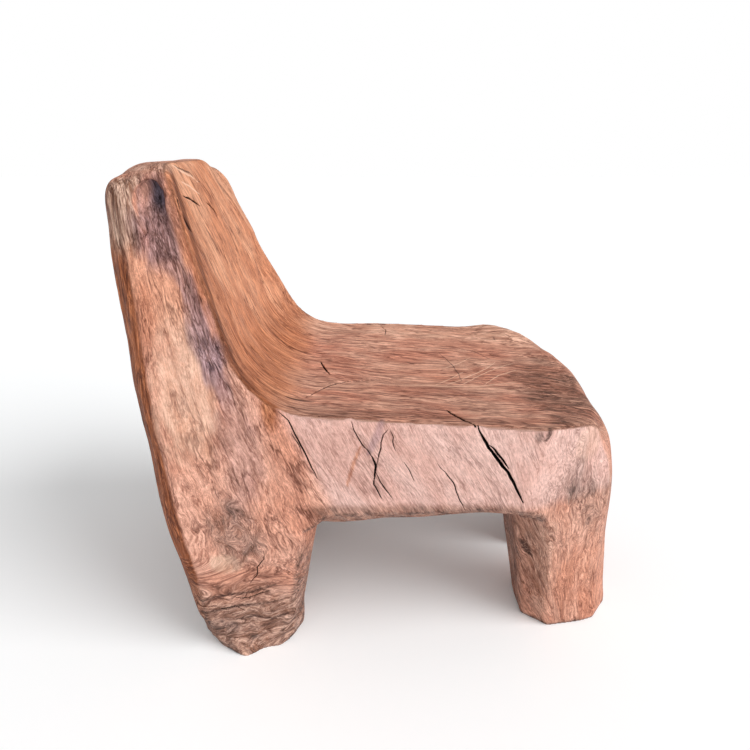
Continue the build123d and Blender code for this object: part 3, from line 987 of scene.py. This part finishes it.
def figure(n):
    """The wood's fields and noises, which its colour and its relief share."""
    marks = ("top", "seat", "seat_side", "churn", "stain")
    f = SimpleNamespace(**{name: n.mark(name) for name in marks})
    f.calm = n.math("SUBTRACT", f.top, f.seat)  # the back's smooth face
    f.plain = n.math("SUBTRACT", 1.0, n.times(n.mark("bleach_and_highlight"), 0.7))
    f.long_grain = n.larger(n.larger(f.top, n.mark("wane")), f.stain)

    # the grain's coordinates, made to wander, and to curl where the grain is wild
    side, top = n.mark("side_grain", "Vector"), n.mark("top_grain", "Vector")
    grain = n.mixed("VECTOR", f.top, side, top)
    grain = n.moved(grain, n.drift(grain, (60, 60, 120), (24, 24, 0)))
    grain = n.moved(grain, n.drift(grain, (22, 22, 60), (8, 8, 0), seed=7))
    curl = n.drift(grain, (40, 40, 60), (84, 84, 84), seed=3)
    curl = n.node("VectorMath", {0: curl, "Scale": f.churn}, operation="SCALE")[0]
    grain = n.moved(grain, curl)

    for name, row in NOISES.items():
        setattr(f, name, n.noise(grain, *row))
    f.streak = n.between(f.long_grain, f.short_streak, f.long_streak)
    f.fine = n.between(f.long_grain, f.short_fine, f.long_fine)
    f.lines, f.hairs = n.contour(f.lines, 0.055), n.contour(f.hairs, 0.06)
    f.threads = n.contour(f.threads, 0.07)
    place = n.scaled(n.node("TexCoord")["Object"], (1000, 1000, 1000))  # millimetres
    f.grit = n.noise(place, *GRIT)
    return f


# mark: (its share, the streaks' low and high, dark tone, light tone), in painting order.
STREAKED = {
    # orange-brown wood, with painted shade in the back's lower curve and on the seat's lower
    # chamfer
    "ember_and_shade": (1.0, 0.35, 0.65, (172, 98, 60), (216, 142, 100)),
    "band": (0.7, 0.35, 0.6, (172, 98, 62), (218, 144, 104)),
    "groove_shade": (0.85, 0.35, 0.6, (98, 50, 30), (150, 88, 58)),
    # painted shade in the groove beside the back's arris
    "wane": (1.0, 0.36, 0.64, (158, 86, 48), (224, 140, 94)),
    "ash": (1.0, 0.38, 0.6, (160, 114, 90), (244, 204, 180)),
    "stain": (1.0, 0.36, 0.64, (116, 92, 100), (206, 168, 170)),
    # painted shade in the knot hollow
    "pit_shade": (1.0, 0.36, 0.64, (61, 53, 64), (138, 125, 140)),
}


def ground_colour(n, f):
    """The wood's broad tones, its stains, its dirt, and its painted shade and highlight."""
    cloudy = (f.cloud, 0.36, 0.62)
    side = n.tones(*cloudy, (234, 166, 138), (250, 191, 166))
    side = n.mix(f.seat_side, side, n.tones(*cloudy, (232, 184, 170), (242, 201, 189)))
    side = n.mix(n.mark("tan"), side, n.tones(*cloudy, (228, 146, 106), (246, 174, 136)))
    face = n.tones(*cloudy, (232, 158, 118), (250, 186, 148))
    settle = n.tones(*cloudy, (231, 162, 135), (250, 195, 168))
    base = n.mix(f.top, side, n.mix(f.seat, face, settle))
    # bleached wood, and the painted highlight on the front shoulder
    pale = n.tones(f.mottle, 0.35, 0.6, (234, 182, 152), (248, 208, 182))
    base = n.mix(n.mark("bleach_and_highlight"), base, pale)
    stained = n.times(f.stain, n.step(f.mottle, 0.25, 0.5, 0.7, 1.0))
    for name, (share, low, high, dark, light) in STREAKED.items():
        cover = stained if name == "stain" else n.times(n.mark(name), share)
        base = n.mix(cover, base, n.tones(f.streak, low, high, dark, light))
    # dirt and painted shade darken the colour
    soil_and_shade = n.times(n.mark("dirt_and_shade"), n.step(f.mottle, 0.3, 0.6, 1.15, 0.6))
    soil_and_shade = n.times(soil_and_shade, n.step(f.fine, 0.3, 0.65, 1.1, 0.75))
    grime = n.tones(f.streak, 0.35, 0.65, (88, 56, 44), (160, 112, 90))
    ashen = n.tones(f.streak, 0.35, 0.65, (84, 66, 59), (178, 147, 134))
    return n.mix(soil_and_shade, base, n.mix(f.top, ashen, grime))


def varied(n, f, base):
    """The colour with the noises' dark and light tints over it."""
    combed = n.between(f.seat, n.between(f.seat_side, 0.3, 0.12), 0.66)
    combed = n.between(f.calm, combed, 0.22)
    base = n.vary(base, f.streak, combed, (0.52, 0.42, 0.38), (1.14, 1.16, 1.17))
    grained = n.between(f.churn, n.between(f.seat_side, 0.7, 0.5), 1.0)
    grained = n.times(n.between(f.calm, grained, 0.5), f.plain)
    base = n.vary(base, f.fine, grained, (0.44, 0.36, 0.34), (1.2, 1.25, 1.27))
    uneven = n.times(n.between(f.seat_side, n.between(f.top, 0.4, 0.5), 0.2), f.plain)
    base = n.vary(base, f.mottle, uneven, (0.64, 0.56, 0.55), (1.12, 1.16, 1.18))
    rough = n.times(n.between(f.top, n.between(f.seat_side, 0.42, 0.25), 0.25), f.plain)
    return n.vary(base, f.grit, rough, (0.62, 0.56, 0.55), (1.12, 1.14, 1.15))


def open_lines(n, f):
    """How much of the open lines, hairs and threads shows."""
    wild = n.larger(f.churn, f.seat_side)
    weathered = n.larger(n.mark("ash"), f.stain)
    gathered = n.step(f.presence, n.between(weathered, 0.45, 0.2),
        n.between(weathered, 0.62, 0.5))
    lines = n.times(n.times(f.lines, gathered), n.times(n.between(wild, 0.8, 0.4), f.plain))
    open_grain = n.math("SUBTRACT", f.long_grain, n.times(f.calm, 0.65))
    hairs = n.times(f.hairs, n.times(open_grain, n.step(f.presence, 0.6, 0.45, 0.2, 0.8)))
    sparse = n.times(f.threads, n.step(f.sparse, 0.35, 0.65))
    inward = n.between(f.seat, n.between(f.seat_side, 0.75, 0.45), 0.3)
    return lines, hairs, n.times(sparse, n.times(inward, f.plain))


def hewn_wood():
    """The wood's material: its colour, with the strokes and cracks, and its fine relief."""
    material = bpy.data.materials.new("hewn_hardwood")
    n = Nodes(material)
    f = figure(n)
    base = varied(n, f, ground_colour(n, f))
    lines, hairs, threads = open_lines(n, f)
    base = n.mix(threads, base, colour(176, 150, 142), "MULTIPLY")
    base = n.mix(lines, base, colour(132, 104, 98), "MULTIPLY")
    base = n.mix(hairs, base, colour(140, 116, 110), "MULTIPLY")
    pale = n.times(n.mark("pale"), n.step(f.fine, 0.3, 0.5, 0.3, 0.75))
    base = n.mix(pale, base, colour(248, 208, 180))
    dark = n.times(n.mark("dark"), n.step(f.fine, 0.65, 0.45, 0.35, 0.9))
    base = n.mix(dark, base, colour(66, 42, 36))
    # painted shade in the cracks, near black
    base = n.mix(n.step(n.mark("crack_shade"), 0.1, 0.9), base, colour(24, 16, 14))

    height = n.times(f.mottle, 0.6)
    raised = ((f.fine, 0.7), (f.streak, 0.6), (f.grit, 0.3))
    for part, depth in (*raised, (lines, -0.5), (hairs, -0.3), (threads, -0.25)):
        height = n.math("ADD", height, n.times(part, depth))
    bump = n.node("Bump", {"Strength": 0.8, "Distance": 1.8 * MM, "Height": height})[0]
    roughness = n.step(f.mottle, 0.3, 0.7, 0.52, 0.78)
    inputs = {"Base Color": base, "Roughness": roughness, "Specular IOR Level": 0.2}
    shader = n.node("BsdfPrincipled", inputs | {"Normal": bump})[0]
    n.node("OutputMaterial", {"Surface": shader})
    return material


# ---------------- floor and light ----------------

FLOOR_HALF = 14.0  # metres
FLOOR_COLOUR = (0.955, 0.968, 0.975, 1)
WHITE = (1, 1, 1, 1)
FLOOR_GLOW = 0.09  # lifts the seen floor to white, and lights nothing
WORLD_LIGHT = 0.4
# lamp: (the side it shines from, strength, spread in degrees).
SUNS = {
    "key": ((-0.52, -0.86, 0.74), 2.2, 42),
    "side": ((-0.9, -0.25, 0.75), 0.75, 60),
}


def add_floor():
    mesh = bpy.data.meshes.new("floor")
    signs = ((-1, -1), (1, -1), (1, 1), (-1, 1))
    mesh.from_pydata([(x * FLOOR_HALF, y * FLOOR_HALF, 0) for x, y in signs], [], [(0, 1, 2, 3)])
    floor = placed("floor", mesh)
    material = bpy.data.materials.new("floor_white")
    n = Nodes(material)
    path = n.node("LightPath")
    seen = n.larger(path["Is Camera Ray"], path["Is Glossy Ray"])
    seen = n.larger(seen, path["Is Transmission Ray"])
    white = n.node("BsdfDiffuse", {"Color": FLOOR_COLOUR})[0]
    glow = n.node("Emission", {"Color": WHITE, "Strength": n.times(seen, FLOOR_GLOW)})[0]
    n.node("OutputMaterial", {"Surface": n.node("AddShader", {0: white, 1: glow})[0]})
    mesh.materials.append(material)


def add_world():
    """A grey light all round, which the camera sees as white."""
    world = bpy.data.worlds.new("studio")
    bpy.context.scene.world = world
    n = Nodes(world)
    path = n.node("LightPath")
    seen = n.larger(path["Is Camera Ray"], path["Is Transmission Ray"])
    strength = n.node("MapRange", {"Value": seen, "To Min": WORLD_LIGHT, "To Max": 1.0})[0]
    background = n.node("Background", {"Color": WHITE, "Strength": strength})[0]
    n.node("OutputWorld", {"Surface": background})


def add_suns():
    for name, (origin, strength, spread) in SUNS.items():
        data = bpy.data.lights.new(name, "SUN")
        data.energy = strength
        data.angle = math.radians(spread)
        lamp = placed(name, data)
        lamp.rotation_euler = Vector(origin).to_track_quat("Z", "Y").to_euler()


# ---------------- the scene ----------------

bpy.context.scene.view_settings.view_transform = "Standard"
add_camera()
add_world()
add_floor()
add_suns()

part_timber(carved_timber(), hewn_wood())
